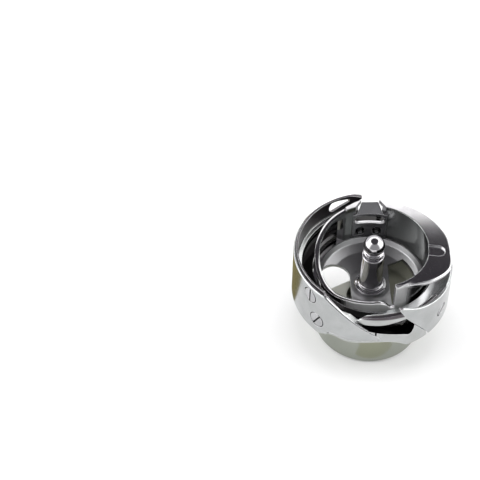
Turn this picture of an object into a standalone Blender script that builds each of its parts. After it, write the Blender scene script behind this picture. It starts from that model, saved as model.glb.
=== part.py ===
"""A full-rotary lockstitch hook with its bobbin case holder, modelled in Blender.

The hook body clamps on the lower shaft of a sewing machine by its hub. The bobbin case holder runs in the
hook's raceway, kept there by a screwed gib, and carries the centre post that a bobbin case latches on.
Sizes are in millimetres and heights are measured from the hub's bottom face; angles are in degrees,
counter-clockwise from +X seen from above. 270 degrees is the front.
"""

from math import cos, pi, radians, sin

import bmesh
import bpy
import numpy as np
from mathutils import Matrix, Vector

MM = 0.001
STEPS = 72  # facets round a full turn
SECTOR_STEP = 5.0  # degrees between the stations of a sector, one facet of a full turn
CUTTER_PHASE = 2.3

# Hook body
BODY_R = 17.0
HUB_R = 11.5
HUB_TOP = 9.5
BORE_R = 3.97  # for a shaft of 5/16 inch
FLOOR_Z = 8.5
WALL_BOTTOM = 11.3
RACE_R = 15.7
RACE_Z = (16.6, 18.35)
LIP_TOP = 19.8
LIP_R = 15.05
RIM_TOP = 24.2
RIM_R = 16.0
POINT_R = (15.3, 16.28)  # the blade of the hook's point
POINT_TOP = 21.1

# Plates screwed on the outside of the body
PLATE_R = 16.43  # their inner face
POCKET_R = 16.36  # the face they sit on
GAP = 0.07

# Bobbin case holder
WALL_R = (11.4, 12.4)
RIB_R = 15.45
RIB_Z = (16.8, 18.1)
FLANGE_Z = (24.35, 25.35)
FLOOR_BOSS_Z = 12.5
POST_R = 2.45

# Fasteners
PLATE_SCREW_R = 1.85
GIB_SCREW_R = 1.6
SMALL_SCREW_R = 0.95

STEEL = (0.56, 0.57, 0.58, 1.0)
DARK_STEEL = (0.36, 0.36, 0.38, 1.0)


# ---------------------------------------------------------------- tools

def clear_scene():
    for old in list(bpy.data.objects):
        bpy.data.objects.remove(old, do_unlink=True)


def new_collection(name):
    collection = bpy.data.collections.new(name)
    bpy.context.scene.collection.children.link(collection)
    return collection


def steel(name, colour, roughness):
    material = bpy.data.materials.new(name)
    material.use_nodes = True
    shader = material.node_tree.nodes["Principled BSDF"]
    shader.inputs["Base Color"].default_value = colour
    shader.inputs["Metallic"].default_value = 1.0
    shader.inputs["Roughness"].default_value = roughness
    return material


def add_object(name, mesh, collection):
    obj = bpy.data.objects.new(name, mesh)
    collection.objects.link(obj)
    return obj


def curve_through(points):
    """A smooth function through (x, y) points, by cubic Hermite pieces with averaged slopes."""
    xs = [p[0] for p in points]
    ys = [p[1] for p in points]
    slopes = np.gradient(ys, xs)

    def value(x):
        x = min(max(x, xs[0]), xs[-1])
        i = min(int(np.searchsorted(xs, x, side="right")) - 1, len(xs) - 2)
        step = xs[i + 1] - xs[i]
        t = (x - xs[i]) / step
        start = (1 + 2 * t) * (1 - t) ** 2 * ys[i] + t * (1 - t) ** 2 * step * slopes[i]
        end = t * t * (3 - 2 * t) * ys[i + 1] - t * t * (1 - t) * step * slopes[i + 1]
        return float(start + end)

    return value


def line_through(points):
    """A function that runs straight between (x, y) points."""
    xs = [p[0] for p in points]
    ys = [p[1] for p in points]
    return lambda x: float(np.interp(x, xs, ys))


def turned(name, outline, collection, steps=STEPS):
    """A closed (radius, height) outline turned about Z; it runs down its outer side."""
    count = len(outline)
    mesh = bpy.data.meshes.new(name)
    mesh.from_pydata([(r * MM, 0, z * MM) for r, z in outline], [(i, (i + 1) % count) for i in range(count)], [])
    return with_screw(add_object(name, mesh, collection), steps)


def turned_solid(name, outline, collection, steps=STEPS):
    """An open (radius, height) outline from the axis at its top to the axis at its foot, turned about Z."""
    mesh = bpy.data.meshes.new(name)
    mesh.from_pydata([(r * MM, 0, z * MM) for r, z in outline], [(i, i + 1) for i in range(len(outline) - 1)], [])
    return with_screw(add_object(name, mesh, collection), steps)


def with_screw(obj, steps):
    turn = obj.modifiers.new("Turn", "SCREW")
    turn.steps = steps
    turn.render_steps = steps
    turn.use_merge_vertices = True
    turn.merge_threshold = 0.000001
    return obj


def lofted(name, sections, collection):
    """A skin over equal-length outlines, closed at both ends; made by hand, as the outlines differ."""
    form = bmesh.new()
    rings = [[form.verts.new(Vector(p) * MM) for p in section] for section in sections]
    count = len(rings[0])
    for ring, after in zip(rings, rings[1:]):
        for i in range(count):
            form.faces.new((ring[i], ring[(i + 1) % count], after[(i + 1) % count], after[i]))
    form.faces.new(rings[0][::-1])
    form.faces.new(rings[-1])
    bmesh.ops.recalc_face_normals(form, faces=form.faces)
    bmesh.ops.triangulate(form, faces=form.faces)
    mesh = bpy.data.meshes.new(name)
    form.to_mesh(mesh)
    form.free()
    return add_object(name, mesh, collection)


def stations(start, end, marks, phase):
    """Angles from start to end, one facet apart, with extra ones where an outline has its corners."""
    first = int(np.ceil((start - phase) / SECTOR_STEP + 0.2))
    last = int(np.floor((end - phase) / SECTOR_STEP - 0.2))
    inner = [i * SECTOR_STEP + phase for i in range(first, last + 1)]
    marks = [m for m in marks if start < m < end]
    inner = [a for a in inner if all(abs(a - m) > 0.8 for m in marks)]
    return sorted([start, end, *marks, *inner])


def ring_point(radius, angle, height):
    return (radius * cos(radians(angle)), radius * sin(radians(angle)), height)


def sector(name, start, end, section, collection, marks=()):
    """A piece of a ring; section gives its (radius, height) outline at each angle.

    A cutter's edges fall between the facets' edges of what it cuts, so that no two of them meet.
    """
    phase = CUTTER_PHASE if collection.name == "cutters" else 0.0
    angles = stations(start, end, marks, phase)
    return lofted(name, [[ring_point(r, a, z) for r, z in section(a)] for a in angles], collection)


def block_sector(name, start, end, radii, bottom, top, collection, marks=()):
    """A piece of a ring between two radii, with a bottom and a top height that follow the angle."""
    inner, outer = radii

    def section(angle):
        low, high = bottom(angle), top(angle)
        return [(inner, low), (outer, low), (outer, high), (inner, high)]

    return sector(name, start, end, section, collection, marks)


def level(height):
    return lambda angle: height


def combine(target, other, operation):
    modifier = target.modifiers.new(other.name, "BOOLEAN")
    modifier.operation = operation
    modifier.solver = "EXACT"
    modifier.object = other
    return target


def as_cutter(obj):
    obj.hide_render = True
    obj.display_type = "WIRE"
    return obj


def cut(target, cutter):
    return combine(target, as_cutter(cutter), "DIFFERENCE")


def join(target, other):
    return combine(target, as_cutter(other), "UNION")


def radial_matrix(angle, height, radius=0.0):
    """A frame whose Z points out from the hook's axis at an angle and a height, and whose Y points up."""
    out = Vector((cos(radians(angle)), sin(radians(angle)), 0))
    up = Vector((0, 0, 1))
    side = up.cross(out)
    matrix = Matrix((side, up, out)).transposed().to_4x4()
    matrix.translation = (out * radius + up * height) * MM
    return matrix


def radial_hole(name, angle, height, radius, inner, outer, collection, steps=20):
    """A round cutter that points at the hook's axis, from one distance off the axis to another."""
    form = bmesh.new()
    bmesh.ops.create_cone(form, cap_ends=True, segments=steps, radius1=radius * MM, radius2=radius * MM,
                          depth=(outer - inner) * MM)
    mesh = bpy.data.meshes.new(name)
    form.to_mesh(mesh)
    form.free()
    obj = add_object(name, mesh, collection)
    obj.matrix_world = radial_matrix(angle, height, (inner + outer) / 2)
    return obj


def screw(name, head_r, head_depth, shank_r, length, slot, collection, cutters, material):
    """A slotted screw whose head's top is at Z 0, pointing up; its slot lies along X."""
    chamfer = 0.12
    outline = [(0, 0), (head_r - chamfer, 0), (head_r, -chamfer), (head_r, -head_depth), (shank_r, -head_depth),
               (shank_r, -length + chamfer), (shank_r - chamfer, -length), (0, -length)]
    obj = turned_solid(name, outline, collection, steps=20)
    width, depth = slot
    form = bmesh.new()
    bmesh.ops.create_cube(form, size=1.0)
    bmesh.ops.scale(form, vec=(2.4 * head_r * MM, width * MM, 2 * depth * MM), verts=form.verts)
    mesh = bpy.data.meshes.new(name + "_slot")
    form.to_mesh(mesh)
    form.free()
    slot_cutter = add_object(name + "_slot", mesh, cutters)
    slot_cutter.parent = obj
    cut(obj, slot_cutter)
    obj.data.materials.append(material)
    return obj


def radial_screw(name, angle, height, top_r, head_r, head_depth, shank_r, length, slot, turn, *rest):
    """A screw let into a round wall, its head's top at top_r from the axis, its slot turned off level."""
    obj = screw(name, head_r, head_depth, shank_r, length, slot, *rest)
    obj.matrix_world = radial_matrix(angle, height, top_r) @ Matrix.Rotation(radians(turn), 4, "Z")
    return obj


# ---------------------------------------------------------------- outlines that several pieces share

guard_front = line_through([(230, 23.6), (240, 22.0), (250, 20.0), (260, 18.0), (270, 16.0), (273, 15.2)])
body_front_bottom = curve_through([(222, 11.0), (229, 11.6), (235, 13.3), (250, 13.4), (262, 14.0), (272, 14.4),
                                   (285, 13.7), (293, 12.0), (299, 11.0)])
gib_left = line_through([(284.4, 23.7), (290, 20.5), (300, 16.8), (307, 14.1), (313, 11.5)])
gib_top = curve_through([(284, 24.0), (292, 23.2), (300, 22.2), (315, 21.2), (323, 20.8), (335, 20.5), (440, 20.5)])
GUARD_SPAN = (150, 273)
GIB_SPAN = (284.4, 435)
GUARD_MARKS = (230, 240, 250, 260, 270)
GIB_MARKS = (290, 300, 307, 313)


def guard_top(angle):
    return min(23.75, guard_front(angle))


def guard_bottom(angle):
    return max(11.35, min(body_front_bottom(angle) + 0.12, guard_top(angle) - 0.35)) if angle > 222 else 11.35


def gib_bottom(angle):
    return max(11.4, gib_left(angle)) if angle < 313 else 11.4


# ---------------------------------------------------------------- hook body

def make_hook_body(parts, cutters, material):
    outline = [
        (16.45, RIM_TOP), (BODY_R, 23.5), (BODY_R, WALL_BOTTOM), (15.5, WALL_BOTTOM), (HUB_R, HUB_TOP),
        (HUB_R, 0.4), (HUB_R - 0.4, 0), (BORE_R + 0.5, 0), (BORE_R, 0.5), (BORE_R, FLOOR_Z - 0.9),
        (5.1, FLOOR_Z), (9.8, FLOOR_Z), (13.6, 13.0), (14.2, 13.8), (14.2, RACE_Z[0]), (RACE_R, RACE_Z[0]),
        (RACE_R, RACE_Z[1]), (LIP_R, RACE_Z[1]), (LIP_R, LIP_TOP - 0.1), (RIM_R - 0.2, LIP_TOP + 0.1),
        (RIM_R, LIP_TOP + 0.4), (RIM_R, RIM_TOP),
    ]
    body = turned("hook_body", outline, parts)
    body.data.materials.append(material)
    out = BODY_R + 0.6

    # The front window, from behind the guard plate's slanted edge to a round end by the gib
    front = line_through([(226, 24.6), (228, 23.6), (236, 22.2), (246, 20.2), (256, 18.2), (262, 17.45),
                          (270, 16.9), (280, 16.2), (290, 15.3), (294, 14.7), (296, 15.1), (297.5, 16.2),
                          (298, 17.8), (299, 18.4)])
    marks = (228, 236, 246, 256, 262, 270, 280, 290, 294, 296, 297.5)
    cut(body, block_sector("front_window", 226, 298.5, (13.4, out), front, level(30), cutters, marks))
    # Past the window the wall stops at the raceway, where the gib takes over, round to the beak that
    # ends the tall wall at the back
    beak_under = line_through([(455, 30), (455.3, 23.0), (458, 22.2), (467.6, 18.5)])
    beak_over = line_through([(92, 22.9), (98, 23.5), (104, 24.1), (110, 24.6)])
    cut(body, block_sector("gib_seat", 297.8, 467.6, (13.4, out), level(RACE_Z[1] - 0.02), beak_under, cutters,
                           (455, 455.3, 458)))
    cut(body, block_sector("over_beak", 92, 109, (13.1, out + 0.1), beak_over, level(31), cutters, (98, 104)))
    # The teardrop slot through the tall wall
    slot_low = curve_through([(105.5, 22.4), (112, 21.6), (118, 21.0), (121, 20.95), (122.7, 21.5), (123.2, 21.9)])
    slot_high = curve_through([(105.5, 22.5), (112, 22.75), (118, 22.95), (121, 22.85), (122.7, 22.3), (123.2, 22.0)])
    cut(body, block_sector("teardrop_slot", 105.5, 123.2, (13.3, out), slot_low, slot_high, cutters,
                           (112, 118, 121, 122.7)))

    # The relief under the front wall
    def relief(angle):
        height = body_front_bottom(angle)
        return [(12.1, height - 3.9), (out, height), (out, 5.0), (12.1, 4.9)]

    cut(body, sector("front_relief", 228, 297, relief, cutters, (235, 250)))
    # The flat milled across the hub's left rear shoulder, which opens the floor
    cut(body, make_hub_flat_cutter(cutters))
    join(body, make_point(cutters))
    # Seats of the two outer plates
    cut(body, block_sector("guard_seat", GUARD_SPAN[0] - 0.4, 274.2, (POCKET_R, out + 0.2),
                           lambda a: guard_bottom(a) - 0.25 if a > 235 else 10.5,
                           lambda a: min(24.5, guard_front(a) + 0.2) if a > 230 else 24.5,
                           cutters, GUARD_MARKS + (235, 235.5)))
    cut(body, block_sector("gib_shell_seat", GIB_SPAN[0] - 0.4, GIB_SPAN[1] + 0.4, (POCKET_R, out + 0.2),
                           lambda a: gib_bottom(a) - 0.2 if a < 311 else 10.5, level(32), cutters,
                           GIB_MARKS + (311, 311.5)))
    for name, angle, height in GUARD_SCREWS:
        cut(body, radial_hole(name + "_hole", angle, height, 1.2, 13.0, out + 1, cutters))
    for name, angle, height in GIB_SCREWS:
        cut(body, radial_hole(name + "_hole", angle, height, 1.1, 13.0, out + 1, cutters))
    for name, angle in HUB_SCREWS:
        cut(body, radial_hole(name + "_hole", angle, HUB_SCREW_Z, 2.1, 2.0, 13.0, cutters))
    return body


def make_point(cutters):
    """The hook's point: a blade that reaches out over the window, hollow ground along its lower edge."""
    inner, outer = POINT_R
    top = line_through([(254, 19.35), (261, POINT_TOP), (322, POINT_TOP)])
    face_foot = curve_through([(254, 19.2), (261, 18.55), (268, 18.4), (276, 18.6), (284, 19.0), (292, 19.3),
                               (298, 19.0), (304, 18.0), (322, 18.0)])
    foot = line_through([(254, 19.15), (260, 18.42), (297, 18.42), (300, 18.0), (322, 18.0)])
    heel = line_through([(296, inner), (300, 15.8)])  # its inner face, clear of the holder's rib at the wall

    def section(angle):
        tip = min((angle - 253.6) / 8, 1.0)
        near = max(outer - (outer - inner) * max(tip, 0.08), heel(angle))
        high = top(angle)
        low = min(foot(angle), high - 0.1)
        ground = min(max(face_foot(angle), low + 0.05), high - 0.04)
        return [(near, low), (outer - 0.3 * tip, low), (outer, ground), (outer, high), (near, high)]

    return sector("point", 254, 321, section, cutters, (261, 296, 297, 300, 304))


def make_hub_flat_cutter(cutters):
    """A wedge beyond a leaning plane: 6 mm off the axis at the floor, and further out lower down."""
    lean = 0.69
    distance, top, reach, half = 6.0, 12.35, 30.0, 30.0
    across = [(distance - lean * (top - FLOOR_Z), top), (reach, top), (reach, -1.0),
              (distance + lean * (FLOOR_Z + 1.0), -1.0)]
    normal = radians(118.7)
    ends = []
    for side in (-half, half):
        ends.append([(d * cos(normal) - side * sin(normal), d * sin(normal) + side * cos(normal), z)
                     for d, z in across])
    return lofted("hub_flat", ends, cutters)


# ---------------------------------------------------------------- outer plates and the gib

GUARD_SCREWS = [("guard_screw_upper", 216, 20.9), ("guard_screw_lower", 224, 15.1)]
GIB_SCREWS = [("gib_screw_front", 327, 15.3), ("gib_screw_middle", 5, 15.3), ("gib_screw_rear", 45, 15.3)]
HUB_SCREWS = [("hub_set_screw_side", 8), ("hub_set_screw_rear", 58)]
HUB_SCREW_Z = 4.6


def make_guard_plate(parts, cutters, material):
    def section(angle):
        low, high = guard_bottom(angle), guard_top(angle)
        chamfer = min(0.25, (high - low) / 3)
        return [(PLATE_R, low), (BODY_R, low), (BODY_R, high - chamfer), (BODY_R - 0.2, high), (PLATE_R, high)]

    plate = sector("thread_guard_plate", *GUARD_SPAN, section, parts, GUARD_MARKS)
    for name, angle, height in GUARD_SCREWS:
        cut(plate, radial_hole(name + "_plate_hole", angle, height, PLATE_SCREW_R + GAP, 15.0, 19.0, cutters))
    plate.data.materials.append(material)
    return plate


def make_race_gib(parts, cutters, material):
    gib = block_sector("race_gib", *GIB_SPAN, (PLATE_R, BODY_R), gib_bottom, gib_top, parts, GIB_MARKS)
    low, high = RACE_Z[1] + 0.1, LIP_TOP

    inner_r = line_through([(262, 14.6), (279, 13.0)])  # the lip's slanted front end
    outer_r = line_through([(262, 15.2), (321.5, 15.2), (321.6, 16.6)])

    def lip(angle):
        near, far = inner_r(angle), outer_r(angle)
        ledge = max(near + 0.1, 14.1)
        rise = 0.3 * (far - ledge)
        return [(near, low), (far, low), (far, high + rise), (ledge, high), (near, high - 0.35)]

    join(gib, sector("gib_lip", 262, 434.6, lip, cutters, (279, 321.5, 321.6)))
    for name, angle, height in GIB_SCREWS:
        cut(gib, radial_hole(name + "_gib_hole", angle, height, GIB_SCREW_R + GAP, 15.0, 19.0, cutters))
    gib.data.materials.append(material)
    return gib


def make_plate_screws(parts, cutters, material):
    slot = (0.42, 0.3)
    turns = {"guard_screw_upper": 90, "guard_screw_lower": 62}
    for name, angle, height in GUARD_SCREWS:
        radial_screw(name, angle, height, BODY_R + 0.02, PLATE_SCREW_R, 0.55, 1.1, 0.95, slot, turns[name],
                     parts, cutters, material)
    turns = {"gib_screw_front": 30, "gib_screw_middle": 75, "gib_screw_rear": 140}
    for name, angle, height in GIB_SCREWS:
        radial_screw(name, angle, height, BODY_R + 0.02, GIB_SCREW_R, 0.55, 1.0, 2.6, slot, turns[name],
                     parts, cutters, material)
    for name, angle in HUB_SCREWS:
        radial_screw(name, angle, HUB_SCREW_Z, HUB_R - 0.6, 2.0, 0.8, 2.0, 6.2, (0.6, 0.9), 20,
                     parts, cutters, material)


# ---------------------------------------------------------------- bobbin case holder

flange_r = curve_through([(-72, 12.0), (-63, 12.5), (-53, 13.4), (-37, 15.3), (-23, 16.6), (-7, 16.1), (10, 15.75),
                          (24, 15.2), (38, 14.7), (55, 14.05), (68, 13.75), (82, 13.7), (97, 13.65), (105, 13.25),
                          (111, 12.85), (118, 12.5)])
rim_top = curve_through([(110, 25.3), (118, 25.0), (134, 24.5), (145, 24.1), (156, 23.4), (168, 22.8), (180, 22.1),
                         (190, 21.2), (202, 20.1), (212, 19.5), (221, 19.4), (239, 20.0), (249, 20.3), (264, 20.7),
                         (275, 20.8), (280, 20.2), (284, 19.2), (288, 18.95)])
window_top = curve_through([(117, 22.5), (125, 23.0), (134, 23.4), (145, 23.2), (156, 22.5), (168, 21.9),
                            (180, 21.2), (190, 20.3), (202, 19.2), (212, 18.6)])
WINDOW_SILL = 15.65
KEYHOLE_ANGLE = -6.6
PLATE_SCREWS = [("position_screw_right", 81.0), ("position_screw_left", 99.5)]
PLATE_SCREW_Z = 17.5
POSITION_LEG = (71.0, 109.0)
POSITION_LEG_Z = (16.0, 22.75)
POSITION_R = (11.45, 11.8)


def make_holder(parts, cutters, material):
    inner, outer = WALL_R
    outline = [
        (outer, 24.9), (outer, RIB_Z[1]), (RIB_R, RIB_Z[1]), (RIB_R, RIB_Z[0]), (12.5, RIB_Z[0]), (12.5, 14.4),
        (10.6, 12.7), (5.4, 11.3), (3.6, 10.9), (3.3, 10.6), (1.65, 10.6), (1.65, FLOOR_BOSS_Z),
        (4.2, FLOOR_BOSS_Z), (4.9, 12.6), (8.6, 13.6), (10.6, 14.6), (inner, 15.6), (inner, 24.9),
    ]
    holder = turned("bobbin_case_holder", outline, parts)
    holder.data.materials.append(material)
    # The low rim on the left and front, down to the step at the flange's front end
    cut(holder, block_sector("rim_cut", 110, 288.1, (10.5, 13.2), rim_top, level(30), cutters, (280, 284)))
    join(holder, make_flange(cutters))
    # The window in the left wall, under the thin rim; its rear side is level with X
    cut(holder, block_sector("wall_window", 125, 205, (10.6, 12.7), level(WINDOW_SILL), window_top, cutters))
    cut(holder, upright_prism("wall_window_rear", [(-5.2, 10.05), (-7.9, 10.05), (-7.2, 8.6), (-4.9, 9.1)],
                              WINDOW_SILL + 0.01, 22.9, cutters))
    for name, outline_points in FLOOR_WINDOWS:
        cut(holder, upright_prism(name, outline_points, 9.0, 17.0, cutters))
    cut(holder, make_keyhole_cutter(cutters))
    cut(holder, make_notch_cutter(cutters))
    cut(holder, make_needle_slot_cutter("needle_slot", 10.5, 14.5, cutters))
    cut(holder, block_sector("position_pocket", POSITION_LEG[0] - 0.3, POSITION_LEG[1] + 0.3,
                             (10.6, POSITION_R[1] + 0.05), level(POSITION_LEG_Z[0] - 0.06), level(24.0), cutters))
    for name, angle in PLATE_SCREWS:
        cut(holder, radial_hole(name + "_hole", angle, PLATE_SCREW_Z, 0.62, 10.5, 14.3, cutters, steps=16))
    return holder


def make_flange(cutters):
    def section(angle):
        low, high = FLANGE_Z
        near, far = WALL_R[0] - 0.04, flange_r(angle)
        return [(near, low), (far, low), (far, high - 0.12), (far - 0.12, high), (near + 0.12, high),
                (near, high - 0.12)]

    return sector("flange", -71.8, 117, section, cutters)


def arc(centre, radius, start, end, count):
    """Points along an arc, in order, with its ends."""
    return [(centre[0] + radius * cos(radians(a)), centre[1] + radius * sin(radians(a)))
            for a in np.linspace(start, end, count)]


BRIDGE_HALF = 4.2
left_window = ([(-BRIDGE_HALF, -7.4)] + arc((-BRIDGE_HALF - 3.3, 1.5), 3.3, 0, 150, 10)
               + arc((0, 0), 10.9, 163, 225, 12))
right_window = ([(BRIDGE_HALF, 7.2)] + arc((0, 0), 9.7, 52, -52, 16) + [(BRIDGE_HALF, -7.2)])
FLOOR_WINDOWS = [("left_floor_window", left_window), ("right_floor_window", right_window)]


def upright_prism(name, outline, low, high, collection):
    """A flat outline in X and Y drawn up from one height to another."""
    return lofted(name, [[(x, y, low) for x, y in outline], [(x, y, high) for x, y in outline]], collection)


def make_keyhole_cutter(cutters):
    """A slot with a round end, sunk in the flange's top and open to the inside."""
    half, end = 1.45, 13.4
    local = [(10.0, -half), *arc((end, 0), half, -90, 90, 9), (10.0, half)]
    turn = radians(KEYHOLE_ANGLE)
    outline = [(x * cos(turn) - y * sin(turn), x * sin(turn) + y * cos(turn)) for x, y in local]
    return upright_prism("keyhole", outline, FLANGE_Z[1] - 0.45, 26.0, cutters)


def make_notch_cutter(cutters):
    """The notch in the flange and wall that the position plate's tongue lies in."""
    inner_half, outer_half = 3.25, 1.95
    outline = [(-inner_half, 10.2), (-inner_half, 11.1), (-outer_half, 13.2), (-outer_half, 15.0),
               (outer_half, 15.0), (outer_half, 13.2), (inner_half, 11.1), (inner_half, 10.2)]
    low, high = POSITION_LEG_Z[1] - 0.75, 26.0
    return upright_prism("position_notch", outline, low, high, cutters)


def make_needle_slot_cutter(name, inner, outer, cutters):
    """A level slot with round ends through the rear wall."""
    half_width, half_height, height = 3.35, 1.12, 21.05
    profile = (arc((half_width - half_height, height), half_height, -90, 90, 9)
               + arc((half_height - half_width, height), half_height, 90, 270, 9))
    return lofted(name, [[(x, y, z) for x, z in profile] for y in (inner - 1.5, outer)], cutters)


def make_position_plate(parts, cutters, material):
    inner, outer = POSITION_R
    plate = block_sector("position_plate", *POSITION_LEG, POSITION_R, level(POSITION_LEG_Z[0]),
                         level(POSITION_LEG_Z[1]), parts)
    thickness = 0.55
    sections = []
    for t in np.linspace(-1, 1, 9):
        angle = 90 - 14.8 * t
        near = ring_point(inner + 0.02, angle, POSITION_LEG_Z[1] + 0.05)
        far = (1.8 * t, 13.45, 24.45)
        sections.append([near, far, (far[0], far[1], far[2] - thickness), (near[0], near[1], near[2] - thickness)])
    join(plate, lofted("position_tongue", sections, cutters))
    cut(plate, make_needle_slot_cutter("needle_slot_plate", 10.5, 12.6, cutters))
    for name, angle in PLATE_SCREWS:
        cut(plate, radial_hole(name + "_seat", angle, PLATE_SCREW_Z, SMALL_SCREW_R + 0.2, 10.5, 12.6, cutters,
                               steps=16))
    plate.data.materials.append(material)
    for name, angle in PLATE_SCREWS:
        small = screw(name, SMALL_SCREW_R, 0.34, 0.55, 2.2, (0.25, 0.2), parts, cutters, material)
        small.matrix_world = radial_matrix(angle, PLATE_SCREW_Z, POSITION_R[0]) @ Matrix.Rotation(pi, 4, "Y")
    return plate


def make_centre_post(parts, material):
    dome = [(2.3 * sin(t), 25.1 + 2.3 * cos(t)) for t in np.linspace(0, radians(128), 9)]
    dome[0] = (0, dome[0][1])
    outline = [
        *dome, (1.62, 23.6), (2.15, 23.35), (2.2, 23.1), (2.1, 22.85), (1.7, 22.65), (1.7, 22.45), (2.3, 22.35),
        (POST_R, 22.15), (POST_R, 14.0), (2.6, 13.9), (2.95, 13.75), (2.95, 13.3), (3.35, 13.2), (3.5, 13.0),
        (3.5, FLOOR_BOSS_Z + 0.06), (1.58, FLOOR_BOSS_Z + 0.06), (1.58, 10.7), (1.45, 10.55), (0, 10.55),
    ]
    post = turned_solid("centre_post", outline, parts, steps=32)
    post.data.materials.append(material)
    return post


# ---------------------------------------------------------------- assembly

def main():
    clear_scene()
    parts = new_collection("rotary_hook")
    cutters = new_collection("cutters")
    polished = steel("polished_steel", STEEL, 0.12)
    satin = steel("satin_steel", STEEL, 0.25)
    dark = steel("burnished_steel", DARK_STEEL, 0.2)
    make_hook_body(parts, cutters, satin)
    make_guard_plate(parts, cutters, satin)
    make_race_gib(parts, cutters, satin)
    make_plate_screws(parts, cutters, dark)
    make_holder(parts, cutters, polished)
    make_position_plate(parts, cutters, satin)
    make_centre_post(parts, polished)
    for obj in parts.objects:
        obj.data.shade_smooth()
        obj.data.set_sharp_from_angle(angle=radians(30))


main()
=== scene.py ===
"""The looks of the rotary hook: rounded steel pieces that stand for the CAD nodes, and a small light tent.

Lengths are in millimetres and heights are above the hub's bottom face. Angles are in degrees,
counter-clockwise from +X seen from above, and 270 degrees faces the camera.
"""

from collections import namedtuple
from math import cos, pi, radians, sin, tan

import bmesh
import bpy
import numpy as np
from mathutils import Matrix, Vector


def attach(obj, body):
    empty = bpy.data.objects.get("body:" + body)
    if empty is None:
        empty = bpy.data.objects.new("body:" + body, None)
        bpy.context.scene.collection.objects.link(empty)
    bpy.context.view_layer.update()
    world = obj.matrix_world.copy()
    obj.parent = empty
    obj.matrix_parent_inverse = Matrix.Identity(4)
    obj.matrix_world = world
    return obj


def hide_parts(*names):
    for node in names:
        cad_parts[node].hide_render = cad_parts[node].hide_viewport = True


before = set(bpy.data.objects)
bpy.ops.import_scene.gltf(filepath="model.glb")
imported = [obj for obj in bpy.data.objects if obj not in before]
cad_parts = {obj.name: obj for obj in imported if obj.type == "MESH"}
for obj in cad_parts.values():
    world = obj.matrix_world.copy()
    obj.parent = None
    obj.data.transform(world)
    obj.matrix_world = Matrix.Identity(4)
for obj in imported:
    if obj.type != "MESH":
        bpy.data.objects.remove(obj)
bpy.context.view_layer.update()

MM = 0.001
SECTOR_STEP = 1.25  # degrees between two stations round a full turn
CUTTER_PHASE = 0.575  # degrees that the stations of a cutter are off those of a piece
FILLET = 0.1  # the usual rounding of an edge
FLANGE_FALL = 0.03  # the fall of the flange's top face outwards, per mm
SMOOTH_UNDER = 34.0  # degrees between faces that are shaded as one surface

# Hook body
BODY_R = 17.0
HUB_R = 11.5
HUB_TOP = 9.5
BORE_R = 3.97  # for a shaft of 5/16 inch
FLOOR_Z = 8.5
WALL_BOTTOM = 11.3
CUP_R = 14.2  # the inside, below the raceway
RACE_R = 15.7
RACE_Z = (16.6, 18.35)
LIP_TOP = 19.8
LIP_R = 15.05
RIM_TOP = 24.2
RIM_R = 16.0
POINT_R = (15.3, 16.28)  # the blade of the hook's point
POINT_TOP = 21.1

# Plates screwed on the outside of the body
PLATE_R = 16.43  # their inner face
POCKET_R = 16.36  # the face they sit on
GAP = 0.07

# Bobbin case holder
WALL_R = (11.4, 12.4)
RIB_R = 15.45
RIB_Z = (16.8, 18.1)
FLANGE_Z = (24.35, 25.35)
WALL_TOP_Z = 24.9  # inside the flange, which covers it
FLOOR_BOSS_Z = 12.5
POST_HOLE_R = 1.65
POST_R = 2.45
BALL_R = 2.3
BALL_Z = 25.1

# Fasteners
PLATE_SCREW_R = 1.85
GIB_SCREW_R = 1.6
SMALL_SCREW_R = 0.95


# ---------------------------------------------------------------- mesh tools

work = bpy.data.collections.new("work")
bpy.context.scene.collection.children.link(work)


def add_object(name, mesh):
    obj = bpy.data.objects.new(name, mesh)
    work.objects.link(obj)
    return obj


def curve_through(points):
    """A smooth function through (x, y) points, by cubic Hermite pieces with averaged slopes."""
    xs = [p[0] for p in points]
    ys = [p[1] for p in points]
    slopes = np.gradient(ys, xs)

    def value(x):
        x = min(max(x, xs[0]), xs[-1])
        i = min(int(np.searchsorted(xs, x, side="right")) - 1, len(xs) - 2)
        step = xs[i + 1] - xs[i]
        t = (x - xs[i]) / step
        start = (1 + 2 * t) * (1 - t) ** 2 * ys[i] + t * (1 - t) ** 2 * step * slopes[i]
        end = t * t * (3 - 2 * t) * ys[i + 1] - t * t * (1 - t) * step * slopes[i + 1]
        return float(start + end)

    return value


def line_through(points):
    """A function that runs straight between (x, y) points."""
    xs = [p[0] for p in points]
    ys = [p[1] for p in points]
    return lambda x: float(np.interp(x, xs, ys))


def level(height):
    return lambda angle: height


def rounded(points, radius=FILLET, closed=True, steps=3):
    """An outline with its corners rounded; a point may name its own radius after its place."""
    out = []
    count = len(points)
    for i, point in enumerate(points):
        here = Vector(point[:2])
        if not closed and i in (0, count - 1):
            out.append(tuple(here))
            continue
        back = Vector(points[i - 1][:2]) - here
        ahead = Vector(points[(i + 1) % count][:2]) - here
        own = point[2] if len(point) > 2 else radius
        half = max(back.angle(ahead) / 2, 0.02)
        reach = min(own / tan(half), 0.45 * back.length, 0.45 * ahead.length)
        start, end = here + back.normalized() * reach, here + ahead.normalized() * reach
        for k in range(steps + 1):
            t = k / steps
            out.append(tuple(start * (1 - t) ** 2 + here * (2 * t * (1 - t)) + end * t * t))
    return out


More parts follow.
